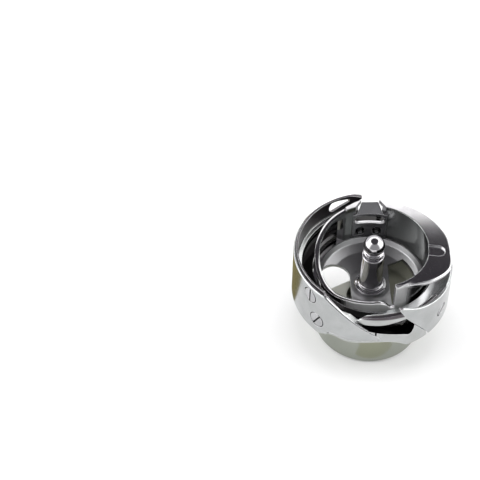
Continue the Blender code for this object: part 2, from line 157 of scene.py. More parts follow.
def skin(name, rings, wrap_rings, cap_ends):
    """A mesh of quads over closed outlines, one after another."""
    form = bmesh.new()
    loops = [[form.verts.new(Vector(p) * MM) for p in ring] for ring in rings]
    count = len(loops[0])
    pairs = list(zip(loops, loops[1:])) + ([(loops[-1], loops[0])] if wrap_rings else [])
    for ring, after in pairs:
        for i in range(count):
            form.faces.new((ring[i], ring[(i + 1) % count], after[(i + 1) % count], after[i]))
    if cap_ends:
        form.faces.new(loops[0][::-1])
        form.faces.new(loops[-1])
    bmesh.ops.recalc_face_normals(form, faces=form.faces)
    mesh = bpy.data.meshes.new(name)
    form.to_mesh(mesh)
    form.free()
    return add_object(name, mesh)


def ring_point(radius, angle, height):
    return (radius * cos(radians(angle)), radius * sin(radians(angle)), height)


def turned(name, outline):
    """A closed (radius, height) outline turned about Z."""
    angles = np.arange(0, 360, SECTOR_STEP)
    return skin(name, [[ring_point(r, a, z) for r, z in outline] for a in angles], True, False)


def turned_solid(name, outline, steps):
    """An open (radius, height) outline from the axis at its top to the axis at its foot, turned about Z."""
    mesh = bpy.data.meshes.new(name)
    edges = [(i, i + 1) for i in range(len(outline) - 1)]
    mesh.from_pydata([(r * MM, 0, z * MM) for r, z in outline], edges, [])
    obj = add_object(name, mesh)
    turn = obj.modifiers.new("Turn", "SCREW")
    turn.steps = turn.render_steps = steps
    turn.use_merge_vertices = True
    turn.merge_threshold = 0.0000005
    return obj


def lofted(name, sections):
    return skin(name, sections, False, True)


def stations(start, end, marks, phase):
    """Angles from start to end, one step apart, with extra ones where an outline has its corners."""
    first = int(np.ceil((start - phase) / SECTOR_STEP + 0.2))
    last = int(np.floor((end - phase) / SECTOR_STEP - 0.2))
    inner = [i * SECTOR_STEP + phase for i in range(first, last + 1)]
    marks = [m for m in marks if start < m < end]
    inner = [a for a in inner if all(abs(a - m) > 0.2 for m in marks)]
    return sorted([start, end, *marks, *inner])


def drawn_in(outline, amount):
    """The outline moved a little towards its middle, for the rounded end of a piece."""
    middle = np.mean(outline, axis=0)
    out = []
    for p in outline:
        away = np.array(p) - middle
        size = np.abs(away) + 1e-9
        out.append(tuple(middle + away * np.maximum(1 - amount / size, 0.5)))
    return out


def sector(name, start, end, section, marks=(), fillet=None, ends=(True, True)):
    """A piece of a ring; section gives its (radius, height) outline at each angle.

    ends says which of its ends are rounded. Without a fillet it is a cutter, whose stations fall between
    those of what it cuts.
    """
    if fillet is None:
        angles = stations(start, end, marks, CUTTER_PHASE)
        return lofted(name, [[ring_point(r, a, z) for r, z in section(a)] for a in angles])
    angles = stations(start, end, marks, 0.0)
    rings = [(a, rounded(section(a), fillet)) for a in angles]
    turn = np.degrees(fillet / section(start)[0][0])
    for at, (angle, way) in zip(ends, ((start, 1), (end, -1))):
        if at:
            full, part = rounded(section(angle), fillet), fillet
            rings = [r for r in rings if abs(r[0] - angle) > 1.05 * turn]
            rings += [(angle, drawn_in(full, part)), (angle + way * 0.3 * turn, drawn_in(full, 0.3 * part)),
                      (angle + way * turn, full)]
    rings.sort(key=lambda ring: ring[0])
    return lofted(name, [[ring_point(r, a, z) for r, z in outline] for a, outline in rings])


def block_sector(name, start, end, radii, bottom, top, marks=(), fillet=None):
    """A piece of a ring between two radii, with a bottom and a top height that follow the angle."""
    inner, outer = radii

    def section(angle):
        low, high = bottom(angle), top(angle)
        return [(inner, low), (outer, low), (outer, high), (inner, high)]

    return sector(name, start, end, section, marks, fillet)


def combine(target, other, operation):
    modifier = target.modifiers.new(other.name, "BOOLEAN")
    modifier.operation = operation
    modifier.solver = "EXACT"
    modifier.object = other
    other.hide_render = True
    return target


def cut(target, cutter):
    return combine(target, cutter, "DIFFERENCE")


def join(target, other):
    return combine(target, other, "UNION")


def arc(centre, radius, start, end, count):
    """Points along an arc, in order, with its ends."""
    return [(centre[0] + radius * cos(radians(a)), centre[1] + radius * sin(radians(a)))
            for a in np.linspace(start, end, count)]


def upright_prism(name, outline, low, high):
    """A flat outline in X and Y drawn up from one height to another."""
    return lofted(name, [[(x, y, low) for x, y in outline], [(x, y, high) for x, y in outline]])


def radial_matrix(angle, height, radius=0.0):
    """A frame whose Z points out from the hook's axis at an angle and a height, and whose Y points up."""
    out = Vector((cos(radians(angle)), sin(radians(angle)), 0))
    up = Vector((0, 0, 1))
    matrix = Matrix((up.cross(out), up, out)).transposed().to_4x4()
    matrix.translation = (out * radius + up * height) * MM
    return matrix


def radial_hole(name, angle, height, radius, inner, outer, steps=48):
    """A round cutter that points at the hook's axis, from one distance off the axis to another."""
    rings = [[(radius * cos(t), radius * sin(t), z) for t in np.linspace(0, 2 * pi, steps, endpoint=False)]
             for z in (inner, outer)]
    obj = lofted(name, rings)
    obj.matrix_world = radial_matrix(angle, height)
    return obj


def shading_normals(mesh):
    """Normals for each face corner: exact ones on the faces of turned surfaces, then averaged by area
    with the neighbours that meet at a shallow angle."""
    corners, faces = len(mesh.loops), len(mesh.polygons)
    point = np.empty(corners, np.int32)
    mesh.loops.foreach_get("vertex_index", point)
    place = np.empty(len(mesh.vertices) * 3)
    mesh.vertices.foreach_get("co", place)
    place = place.reshape(-1, 3)
    starts, counts = np.empty(faces, np.int32), np.empty(faces, np.int32)
    mesh.polygons.foreach_get("loop_start", starts)
    mesh.polygons.foreach_get("loop_total", counts)
    face_normal, area = np.empty(faces * 3), np.empty(faces)
    mesh.polygons.foreach_get("normal", face_normal)
    mesh.polygons.foreach_get("area", area)
    face_normal = face_normal.reshape(-1, 3)
    owner = np.repeat(np.arange(faces), counts)
    around = np.arctan2(place[:, 1], place[:, 0])[point]
    facing = np.arctan2(face_normal[:, 1], face_normal[:, 0])[owner]
    off = (around - facing + pi / 2) % pi - pi / 2
    off[np.hypot(face_normal[:, 0], face_normal[:, 1])[owner] < 0.02] = 0
    widest = np.maximum.reduceat(np.abs(off), starts)
    off[(widest > radians(SECTOR_STEP) * 0.8)[owner]] = 0
    normal = face_normal[owner]
    exact = np.column_stack((normal[:, 0] * np.cos(off) - normal[:, 1] * np.sin(off),
                             normal[:, 0] * np.sin(off) + normal[:, 1] * np.cos(off), normal[:, 2]))
    order = np.argsort(point, kind="stable")
    sorted_point, sorted_exact, weight = point[order], exact[order], area[owner][order]
    total = sorted_exact * weight[:, None]
    limit = cos(radians(SMOOTH_UNDER))
    for shift in range(1, int(np.bincount(point).max())):
        later, earlier = slice(shift, None), slice(None, -shift)
        for here, there in ((later, earlier), (earlier, later)):
            close = (sorted_point[here] == sorted_point[there]) & (
                np.einsum("ij,ij->i", sorted_exact[here], sorted_exact[there]) > limit)
            total[here] += sorted_exact[there] * (weight[there] * close)[:, None]
    total /= np.linalg.norm(total, axis=1)[:, None] + 1e-30
    result = np.empty_like(total)
    result[order] = total
    return result


def settle(obj, material, body, slot, *nodes):
    """Turns an object's modifiers into its mesh, shades it and puts it in the frame for its CAD nodes."""
    scene_graph = bpy.context.evaluated_depsgraph_get()
    scene_graph.update()
    mesh = bpy.data.meshes.new_from_object(obj.evaluated_get(scene_graph))
    tools = [m.object for m in obj.modifiers if m.type == "BOOLEAN"]
    obj.modifiers.clear()
    obj.data = mesh
    for tool in tools:
        bpy.data.objects.remove(tool)
    mesh.materials.clear()
    mesh.materials.append(material)
    mesh.polygons.foreach_set("material_index", [0] * len(mesh.polygons))
    mesh.shade_smooth()
    mesh.normals_split_custom_set(shading_normals(mesh).tolist())
    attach(obj, body)
    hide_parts(*nodes)
    return obj


# ---------------------------------------------------------------- outlines that several pieces share

guard_front = line_through([(230, 23.6), (240, 22.0), (250, 20.0), (260, 18.0), (270, 16.0), (273, 15.2)])
body_front_bottom = curve_through([(222, 11.0), (229, 11.6), (235, 13.3), (250, 13.4), (262, 14.0),
                                   (272, 14.4), (285, 13.7), (293, 12.0), (299, 11.0)])
gib_left = line_through([(284.4, 23.7), (290, 20.5), (300, 16.8), (307, 14.1), (313, 11.5)])
gib_top = curve_through([(284, 24.0), (292, 23.2), (300, 22.2), (315, 21.2), (323, 20.8), (335, 20.5),
                         (440, 20.5)])
GUARD_SPAN = (150, 273)
GUARD_FOOT = 11.35
RELIEF_START = 222  # from here on the guard plate's lower edge follows the relief under the front wall
GIB_SPAN = (284.4, 435)
GUARD_MARKS = (230, 240, 250, 260, 270)
GIB_MARKS = (290, 300, 307, 313)
GUARD_SCREWS = [("guard_screw_upper", 216, 20.9, 90), ("guard_screw_lower", 224, 15.1, 62)]
GIB_SCREWS = [("gib_screw_front", 327, 15.3, 30), ("gib_screw_middle", 5, 15.3, 75),
              ("gib_screw_rear", 45, 15.3, 140)]
HUB_SCREWS = [("hub_set_screw_side", 8), ("hub_set_screw_rear", 58)]
HUB_SCREW_Z = 4.6


def guard_top(angle):
    return min(23.75, guard_front(angle))


def guard_bottom(angle):
    if angle <= RELIEF_START:
        return GUARD_FOOT
    return max(GUARD_FOOT, min(body_front_bottom(angle) + 0.12, guard_top(angle) - 0.35))


def gib_bottom(angle):
    return max(11.4, gib_left(angle)) if angle < 313 else 11.4


# ---------------------------------------------------------------- hook body

def make_hook_body():
    outline = [
        (16.45, RIM_TOP), (BODY_R, 23.5), (BODY_R, WALL_BOTTOM, 0.3), (15.5, WALL_BOTTOM, 0.4),
        (HUB_R, HUB_TOP, 0.8), (HUB_R, 0.4, 0.3), (HUB_R - 0.4, 0, 0.3), (BORE_R + 0.5, 0, 0.2),
        (BORE_R, 0.5, 0.2), (BORE_R, FLOOR_Z - 0.9), (5.1, FLOOR_Z, 0.3), (9.8, FLOOR_Z, 0.8),
        (CUP_R - 0.6, 13.0, 0.6), (CUP_R, 13.8, 0.4), (CUP_R, RACE_Z[0]), (RACE_R, RACE_Z[0]),
        (RACE_R, RACE_Z[1]), (LIP_R, RACE_Z[1]), (LIP_R, LIP_TOP - 0.1), (RIM_R - 0.2, LIP_TOP + 0.1, 0.15),
        (RIM_R, LIP_TOP + 0.4, 0.15), (RIM_R, RIM_TOP),
    ]
    body = turned("hook_body_steel", rounded(outline))
    out = BODY_R + 0.6

    # The front window, from behind the guard plate's slanted edge to a round end by the gib
    front = line_through([(226, 24.6), (228, 23.6), (236, 22.2), (246, 20.2), (256, 18.2), (262, 17.45),
                          (270, 16.9), (280, 16.2), (290, 15.3), (294, 14.7), (296, 15.1), (297.5, 16.2),
                          (298, 17.8), (299, 18.4)])
    marks = (228, 236, 246, 256, 262, 270, 280, 290, 294, 296, 297.5)
    cut(body, block_sector("front_window", 226, 298.5, (13.4, out), front, level(30), marks))
    # Past the window the wall stops at the raceway, where the gib takes over, round to the beak that
    # ends the tall wall at the back
    beak_under = line_through([(455, 30), (455.3, 23.0), (458, 22.2), (467.6, 18.5)])
    beak_over = line_through([(92, 22.9), (98, 23.5), (104, 24.1), (110, 24.6)])
    cut(body, block_sector("gib_seat", 297.8, 467.6, (13.4, out), level(RACE_Z[1] - 0.02), beak_under,
                           (455, 455.3, 458)))
    cut(body, block_sector("over_beak", 92, 109, (13.1, out + 0.1), beak_over, level(31), (98, 104)))
    # The teardrop slot through the tall wall
    slot_low = curve_through([(105.5, 22.4), (112, 21.6), (118, 21.0), (121, 20.95), (122.7, 21.5),
                              (123.2, 21.9)])
    slot_high = curve_through([(105.5, 22.5), (112, 22.75), (118, 22.95), (121, 22.85), (122.7, 22.3),
                               (123.2, 22.0)])

    def teardrop(angle):  # its lower face falls outwards
        low, high = slot_low(angle), slot_high(angle)
        return [(13.3, low + 1.9), (out, low - 0.9), (out, high + 0.01), (13.3, high + 2.0)]

    cut(body, sector("teardrop_slot", 105.5, 123.2, teardrop, (112, 118, 121, 122.7)))

    # The relief under the front wall
    def relief(angle):
        height = body_front_bottom(angle)
        return [(12.1, height - 3.9), (out, height), (out, 5.0), (12.1, 4.9)]

    cut(body, sector("front_relief", 228, 297, relief, (235, 250)))
    cut(body, make_hub_flat_cutter())
    join(body, make_point())
    # Seats of the two outer plates
    cut(body, block_sector("guard_seat", GUARD_SPAN[0] - 0.4, GUARD_SPAN[1] + 0.05, (POCKET_R, out + 0.2),
                           lambda a: guard_bottom(a) - 0.03 if a > 235 else 10.5,
                           lambda a: min(24.5, guard_front(a) + 0.04) if a > 230 else 24.5,
                           GUARD_MARKS + (235, 235.5)))
    cut(body, block_sector("gib_shell_seat", GIB_SPAN[0] - 0.4, GIB_SPAN[1] + 0.4, (POCKET_R, out + 0.2),
                           lambda a: gib_bottom(a) - 0.2 if a < 311 else 10.5, level(32),
                           GIB_MARKS + (311, 311.5)))
    for name, angle, height, turn in GUARD_SCREWS:
        cut(body, radial_hole(name + "_hole", angle, height, 1.2, 13.0, out + 1))
    for name, angle, height, turn in GIB_SCREWS:
        cut(body, radial_hole(name + "_hole", angle, height, 1.1, 13.0, out + 1))
    for name, angle in HUB_SCREWS:
        cut(body, radial_hole(name + "_hole", angle, HUB_SCREW_Z, 2.1, 2.0, 13.0))
    return settle(body, satin, "hook", "body_steel", "hook_body")


def make_point():
    """The hook's point: a blade that reaches out over the window, hollow ground along its lower edge."""
    inner, outer = POINT_R
    top = curve_through([(254, 19.35), (257, 20.0), (261, 20.6), (266, 20.95), (272, POINT_TOP),
                         (322, POINT_TOP)])
    face_foot = curve_through([(254, 19.2), (261, 18.55), (268, 18.4), (276, 18.6), (284, 19.0), (292, 19.3),
                               (298, 19.0), (304, 18.0), (322, 18.0)])
    foot = line_through([(254, 19.15), (260, 18.42), (297, 18.42), (300, 18.0), (322, 18.0)])
    heel = line_through([(296, inner), (300, 15.8)])  # its inner face, clear of the holder's rib at the wall

    def section(angle):
        tip = min((angle - 253.6) / 8, 1.0)
        near = max(outer - (outer - inner) * max(tip, 0.08), heel(angle))
        high = top(angle)
        low = min(foot(angle), high - 0.1)
        ground = min(max(face_foot(angle), low + 0.05), high - 0.04)
        return rounded([(near, low), (outer - 0.3 * tip, low), (outer, ground), (outer, high, 0.16),
                        (near, high, 0.16)], 0.05)

    return sector("point", 254, 321, section, (261, 296, 297, 300, 304))


def make_hub_flat_cutter():
    """A wedge beyond a leaning plane, which opens the floor: 6 mm off the axis there, further out below."""
    lean = 0.69
    distance, top, reach, half = 6.0, 12.35, 30.0, 30.0
    across = [(distance - lean * (top - FLOOR_Z), top), (reach, top), (reach, -1.0),
              (distance + lean * (FLOOR_Z + 1.0), -1.0)]
    normal = radians(118.7)
    ends = []
    for side in (-half, half):
        ends.append([(d * cos(normal) - side * sin(normal), d * sin(normal) + side * cos(normal), z)
                     for d, z in across])
    return lofted("hub_flat", ends)


# ---------------------------------------------------------------- outer plates and the gib

def make_guard_plate():
    def section(angle):
        low, high = guard_bottom(angle), guard_top(angle)
        chamfer = min(0.25, (high - low) / 3)
        return [(PLATE_R, low), (BODY_R, low), (BODY_R, high - chamfer), (BODY_R - 0.2, high),
                (PLATE_R, high)]

    plate = sector("thread_guard_plate_steel", *GUARD_SPAN, section, GUARD_MARKS, fillet=0.07)
    for name, angle, height, turn in GUARD_SCREWS:
        cut(plate, radial_hole(name + "_plate_hole", angle, height, PLATE_SCREW_R + GAP, 15.0, 19.0))
    return settle(plate, plate_steel, "hook", "plate_steel", "thread_guard_plate")


def make_race_gib():
    gib = block_sector("race_gib_steel", *GIB_SPAN, (PLATE_R, BODY_R), gib_bottom, gib_top, GIB_MARKS,
                       fillet=0.1)
    low, high = RACE_Z[1] + 0.1, LIP_TOP
    inner_r = line_through([(262, 14.6), (279, 13.0)])  # the lip's slanted front end
    outer_r = line_through([(262, 15.2), (321.5, 15.2), (321.6, 16.6)])

    def lip(angle):
        near, far = inner_r(angle), outer_r(angle)
        ledge = max(near + 0.1, 14.1)
        rise = 0.3 * (far - ledge)
        return [(near, low), (far, low), (far, high + rise), (ledge, high, 0.05), (near, high - 0.35)]

    join(gib, sector("gib_lip", 262, 434.6, lip, (279, 321.5, 321.6), fillet=0.1, ends=(True, False)))
    for name, angle, height, turn in GIB_SCREWS:
        cut(gib, radial_hole(name + "_gib_hole", angle, height, GIB_SCREW_R + GAP, 15.0, 19.0))
    return settle(gib, plate_steel, "hook", "plate_steel", "race_gib")


# ---------------------------------------------------------------- screws

def screw(node, head_r, head_depth, shank_r, length, slot, matrix, body, slot_name="screw_steel",
          crown=0.0):
    """A slotted screw whose head's top is at Z 0, pointing up; its slot lies along X."""
    chamfer = 0.12
    face = [(0, 0)]
    if crown:
        face += [(0.35 * head_r, -0.1 * crown, 0.4), (0.7 * head_r, -0.45 * crown, 0.4)]
    outline = rounded(face + [
        (head_r - chamfer, -crown, 0.2), (head_r, -crown - chamfer, 0.1), (head_r, -head_depth),
        (shank_r, -head_depth), (shank_r, -length + chamfer), (shank_r - chamfer, -length), (0, -length),
    ], 0.06, closed=False)
    obj = turned_solid(node + "_steel", outline, 64)
    width, depth = slot
    half = width / 2
    across = [(-half - 0.05, 0.3), (-half - 0.05, 0.0), (-half, -0.05), (-half, -depth), (half, -depth),
              (half, -0.05), (half + 0.05, 0.0), (half + 0.05, 0.3)]
    ends = [[(x, y, z) for y, z in across] for x in (-1.3 * head_r, 1.3 * head_r)]
    cut(obj, lofted(node + "_slot", ends))
    obj.matrix_world = matrix
    obj.modifiers[-1].object.matrix_world = matrix
    return settle(obj, screw_steel, body, slot_name, node)


def make_screws():
    for rows, head_r, shank_r, length, slot in ((GUARD_SCREWS, 1.76, 1.1, 0.95, (0.42, 0.3)),
                                                (GIB_SCREWS, 1.5, 1.0, 2.6, (0.62, 0.5))):
        for name, angle, height, turn in rows:
            matrix = radial_matrix(angle, height, BODY_R + 0.02) @ Matrix.Rotation(radians(turn), 4, "Z")
            screw(name, head_r, 0.55, shank_r, length, slot, matrix, "hook")
    for name, angle in HUB_SCREWS:
        matrix = radial_matrix(angle, HUB_SCREW_Z, HUB_R - 0.6) @ Matrix.Rotation(radians(20), 4, "Z")
        screw(name, 2.0, 0.8, 1.9, 6.2, (0.6, 0.9), matrix, "hook", "dark_steel")
    for name, angle in PLATE_SCREWS:
        matrix = radial_matrix(angle, PLATE_SCREW_Z, POSITION_R[0] - 0.4) @ Matrix.Rotation(pi, 4, "Y")
        screw(name, SMALL_SCREW_R, 0.74, 0.55, 2.5, (0.25, 0.4), matrix, "holder", crown=0.32)


# ---------------------------------------------------------------- bobbin case holder

flange_r = curve_through([(-72, 12.0), (-63, 12.5), (-53, 13.4), (-37, 15.3), (-23, 16.6), (-7, 16.1),
                          (10, 15.75), (24, 15.2), (38, 14.7), (55, 14.05), (68, 13.75), (82, 13.7),
                          (97, 13.65), (105, 13.25), (111, 12.85), (118, 12.5)])
rim_top = curve_through([(110, 25.3), (118, 25.0), (134, 24.5), (145, 24.1), (156, 23.4), (168, 22.8),
                         (180, 22.1), (190, 21.2), (202, 20.1), (212, 19.5), (221, 19.4), (239, 20.0),
                         (249, 20.3), (264, 20.7), (275, 20.8), (280, 20.2), (284, 19.2), (288, 18.95)])
window_top = curve_through([(117, 22.5), (125, 23.0), (134, 23.4), (145, 23.2), (156, 22.5), (168, 21.9),
                            (180, 21.2), (190, 20.3), (202, 19.2), (212, 18.6)])
WINDOW_SILL = 15.65
KEYHOLE_ANGLE = -6.6
PLATE_SCREWS = [("position_screw_right", 81.0), ("position_screw_left", 99.5)]
PLATE_SCREW_Z = 17.5
POSITION_LEG = (71.0, 109.0)
POSITION_LEG_Z = (16.0, 22.75)
POSITION_R = (11.45, 11.8)
BRIDGE_HALF = 4.2
NEEDLE_SLOT_FALL = 0.2
UNDERCUT = 0.45  # how far the floor windows lean back, per mm of depth


def make_holder():
    inner, outer = WALL_R
    outline = [
        (outer, WALL_TOP_Z), (outer, RIB_Z[1]), (RIB_R, RIB_Z[1] - 0.1), (RIB_R, RIB_Z[0]), (12.5, RIB_Z[0]),
        (12.5, 14.4, 0.4), (10.6, 12.7, 0.4), (5.4, 11.3, 0.4), (3.6, 10.9), (3.3, 10.6),
        (POST_HOLE_R, 10.6), (POST_HOLE_R, FLOOR_BOSS_Z), (4.2, FLOOR_BOSS_Z, 0.2), (4.9, 12.6, 0.3),
        (8.6, 13.6, 1.5), (10.6, 14.6, 0.8), (inner, 15.6, 0.6), (inner, WALL_TOP_Z),
    ]
    holder = turned("bobbin_case_holder_steel", rounded(outline))
    # The low rim on the left and front, down to the step at the flange's front end
    middle = (inner + outer) / 2

    def above_rim(angle):
        crest = rim_top(angle)
        near, far, high = 10.5, 13.2, 30
        return [(near, crest - 0.5), (middle - 0.1, crest), (middle + 0.1, crest), (far, crest - 0.45),
                (far, high), (near, high)]

    cut(holder, sector("rim_cut", 110, 288.1, above_rim, (280, 284)))
    join(holder, make_flange())
    # The window in the left wall, under the thin rim; its rear side is level with X
    cut(holder, block_sector("wall_window", 125, 205, (10.6, 12.7), level(WINDOW_SILL), window_top))
    cut(holder, upright_prism("wall_window_rear", [(-5.2, 10.05), (-7.9, 10.05), (-7.2, 8.6), (-4.9, 9.1)],
                              WINDOW_SILL + 0.01, 22.9))
    left_window = ([(-BRIDGE_HALF, -7.4)] + arc((-BRIDGE_HALF - 3.3, 1.5), 3.3, 0, 150, 40)
                   + arc((0, 0), 10.9, 163, 225, 48))
    right_window = [(BRIDGE_HALF, 5.0)] + arc((0, 0), 9.7, 40, -52, 66) + [(BRIDGE_HALF, -7.2)]
    for name, window in (("left_floor_window", left_window), ("right_floor_window", right_window)):
        leaning = [[(x, y + UNDERCUT * (13.6 - z), z) for x, y in window] for z in (9.0, 14.9)]
        cut(holder, lofted(name, leaning))
    cut(holder, make_keyhole_cutter())
    cut(holder, make_notch_cutter())
    cut(holder, make_needle_slot_cutter("needle_slot", 10.5, 14.5))
    cut(holder, block_sector("position_pocket", POSITION_LEG[0] - 0.3, POSITION_LEG[1] + 0.3,
                             (10.6, POSITION_R[1] + 0.05), level(POSITION_LEG_Z[0] - 0.06), level(24.0)))
    for name, angle in PLATE_SCREWS:
        cut(holder, radial_hole(name + "_hole", angle, PLATE_SCREW_Z, 0.62, 10.5, 14.3))
    return settle(holder, polished, "holder", "holder_steel", "bobbin_case_holder")


def make_flange():
    def section(angle):
        low, high = FLANGE_Z
        near, far = WALL_R[0] - 0.002, flange_r(angle)
        fall = FLANGE_FALL * (far - near)
        return rounded([(near, low), (far, low), (far, high - 0.3 - fall), (far - 0.25, high - fall, 0.06),
                        (near + 0.1, high, 0.08), (near, high - 0.1)], 0.06)

    return sector("flange", -71.8, 117, section)


def make_keyhole_cutter():
    """A slot with a round end, sunk in the flange's top and open to the inside."""
    half, end = 1.45, 13.4
    local = [(10.0, -half), *arc((end, 0), half, -90, 90, 33), (10.0, half)]
    turn = radians(KEYHOLE_ANGLE)
    outline = [(x * cos(turn) - y * sin(turn), x * sin(turn) + y * cos(turn)) for x, y in local]
    return upright_prism("keyhole", outline, FLANGE_Z[1] - 0.5, 26.0)


def make_notch_cutter():
    """The notch in the flange and wall that the position plate's tongue lies in."""
    inner_half, outer_half = 3.25, 1.95
    outline = [(-inner_half, 10.2), (-inner_half, 11.1), (-outer_half, 13.2), (-outer_half, 15.0),
               (outer_half, 15.0), (outer_half, 13.2), (inner_half, 11.1), (inner_half, 10.2)]
    return upright_prism("position_notch", outline, POSITION_LEG_Z[1] - 0.75, 26.0)


def make_needle_slot_cutter(name, inner, outer):
    """A slot with round ends through the rear wall, which falls outwards."""
    half_width, half_height, height = 3.35, 1.12, 21.05
    profile = (arc((half_width - half_height, height), half_height, -90, 90, 25)
               + arc((half_height - half_width, height), half_height, 90, 270, 25))
    return lofted(name, [[(x, y, z - NEEDLE_SLOT_FALL * (y - WALL_R[0])) for x, z in profile]
                         for y in (inner - 1.5, outer)])


def make_position_plate():
    inner, outer = POSITION_R
    plate = block_sector("position_plate_steel", *POSITION_LEG, POSITION_R, level(POSITION_LEG_Z[0]),
                         level(POSITION_LEG_Z[1]), fillet=0.06)
    down = Vector((0, 0, 0.55))
    sections = []
    for t in np.linspace(-1, 1, 33):
        angle = 90 - 14.8 * t
        near = Vector(ring_point(inner + 0.02, angle, POSITION_LEG_Z[1] + 0.05))
        far = Vector((1.8 * t, 13.45, 24.45))
        sections.append([near, far, far - down, near - down])
    join(plate, lofted("position_tongue", sections))
    cut(plate, make_needle_slot_cutter("needle_slot_plate", 10.5, 12.6))
    for name, angle in PLATE_SCREWS:
        cut(plate, radial_hole(name + "_seat", angle, PLATE_SCREW_Z, SMALL_SCREW_R + 0.2, 10.5, 12.6))
    return settle(plate, insert_steel, "holder", "insert_steel", "position_plate")


def make_centre_post():
    shank_r, shank_end = POST_HOLE_R - GAP, 10.55
    dome = [(BALL_R * sin(t), BALL_Z + BALL_R * cos(t), 0.01) for t in np.linspace(0, radians(128), 40)]
    dome[0] = (0, dome[0][1])
    outline = dome + [
        (1.62, 23.6), (2.15, 23.35), (2.2, 23.1, 0.2), (2.1, 22.85), (1.7, 22.65), (1.7, 22.45),
        (2.3, 22.35), (POST_R, 22.15), (POST_R, 14.0), (2.6, 13.9), (2.95, 13.75, 0.2), (2.95, 13.3),
        (3.35, 13.2), (3.5, 13.0, 0.15), (3.5, FLOOR_BOSS_Z + 0.06), (shank_r, FLOOR_BOSS_Z + 0.06),
        (shank_r, shank_end + 0.15), (shank_r - 0.13, shank_end), (0, shank_end),
    ]
    post = turned_solid("centre_post_steel", rounded(outline, 0.08, closed=False, steps=2), 144)
    return settle(post, polished_post, "holder", "post_steel", "centre_post")


# ---------------------------------------------------------------- materials

class Nodes:
    """Short calls for building a node tree."""

    def __init__(self, tree):
        self.tree = tree

    def add(self, kind, **settings):
        node = self.tree.nodes.new(kind)
        for name, value in settings.items():
            setattr(node, name, value)
        return node

    def link(self, value, socket):
        if isinstance(value, bpy.types.NodeSocket):
            self.tree.links.new(value, socket)
        else:
            socket.default_value = value

    def math(self, operation, *values):
        node = self.add("ShaderNodeMath", operation=operation)
        for value, socket in zip(values, node.inputs):
            self.link(value, socket)
        return node.outputs[0]

    def total(self, start, *terms):
        """A start value plus (value, amount) terms, each value times its amount."""
        for value, amount in terms:
            start = self.math("MULTIPLY_ADD", value, amount, start)
        return start

    def vector(self, x, y, z):
        node = self.add("ShaderNodeCombineXYZ")
        for value, socket in zip((x, y, z), node.inputs):
            self.link(value, socket)
        return node.outputs[0]

    def noise(self, place, scale, detail=2.0, w=None):
        node = self.add("ShaderNodeTexNoise", noise_dimensions="3D" if w is None else "4D")
        self.link(place, node.inputs["Vector"])
        if w is not None:
            self.link(w, node.inputs["W"])
        node.inputs["Scale"].default_value = scale
        node.inputs["Detail"].default_value = detail
        return node.outputs["Fac"]

    def span(self, value, low, high, to_low=0.0, to_high=1.0):
        node = self.add("ShaderNodeMapRange", interpolation_type="SMOOTHSTEP")
        for number, socket in zip((value, low, high, to_low, to_high), node.inputs):
            self.link(number, socket)
        return node.outputs["Result"]

    def mask(self, *limits):
        """1 where every (value, none, full) limit is met in full, and 0 where one isn't met at all."""
        whole = self.span(*limits[0])
        for limit in limits[1:]:
            whole = self.math("MULTIPLY", whole, self.span(*limit))
        return whole

    def mix(self, factor, first, second, blend="MIX"):
        node = self.add("ShaderNodeMix", data_type="RGBA", blend_type=blend)
        self.link(factor, node.inputs["Factor"])
        self.link(first, node.inputs["A"])
        self.link(second, node.inputs["B"])
        return node.outputs["Result"]


class Place:
    """Where a point of a piece is: its place in mm, its distance off the axis and its direction from it."""

    def __init__(self, nodes):
        scaled = nodes.add("ShaderNodeVectorMath", operation="SCALE")
        nodes.link(nodes.add("ShaderNodeTexCoord").outputs["Object"], scaled.inputs["Vector"])
        scaled.inputs["Scale"].default_value = 1 / MM
        self.all = scaled.outputs["Vector"]
        parts = nodes.add("ShaderNodeSeparateXYZ")
        nodes.link(self.all, parts.inputs[0])
        self.x, y, self.z = parts.outputs
        self.away = nodes.math("SQRT", nodes.total(0.0, (self.x, self.x), (y, y)))
        safe = nodes.math("MAXIMUM", self.away, 0.2)
        self.across, self.along = nodes.math("DIVIDE", self.x, safe), nodes.math("DIVIDE", y, safe)


# A part of a piece with its own look: how much rougher it is, how much less metallic, and whether it covers
# the bright edges
Patch = namedtuple("Patch", "mask colour rougher duller covers_edges", defaults=(0.0, 0.0, False))

# painted highlight along the edges, partly rubbed wear
EDGE_HIGHLIGHT = (0.93, 0.93, 0.94, 1.0)
# painted shade on the holder's edges at the back
BACK_EDGE_SHADE = (0.05, 0.05, 0.05, 1.0)
DUST_COLOUR = (0.30, 0.30, 0.28, 1.0)
# painted shade inside and on top of the tall wall
TALL_WALL_SHADE = (0.085, 0.075, 0.082, 1.0)
# painted shade in the raceway
RACE_SHADE = (0.035, 0.034, 0.034, 1.0)
# painted shade in screw slots and round the heads
SLOT_SHADE = (0.02, 0.02, 0.02, 1.0)


# Painted shade in the raceway and on the holder's rib below the blade: a near-black colour, over the edges
# too, where shadow falls under the blade.
def race_painted_shade(nodes, at):
    mask = nodes.mask((at.away, 12.45, 12.6), (at.away, 16.85, 16.8), (at.z, 18.5, 18.3), (at.z, 11.8, 12.5))
    return Patch(mask, RACE_SHADE, covers_edges=True)


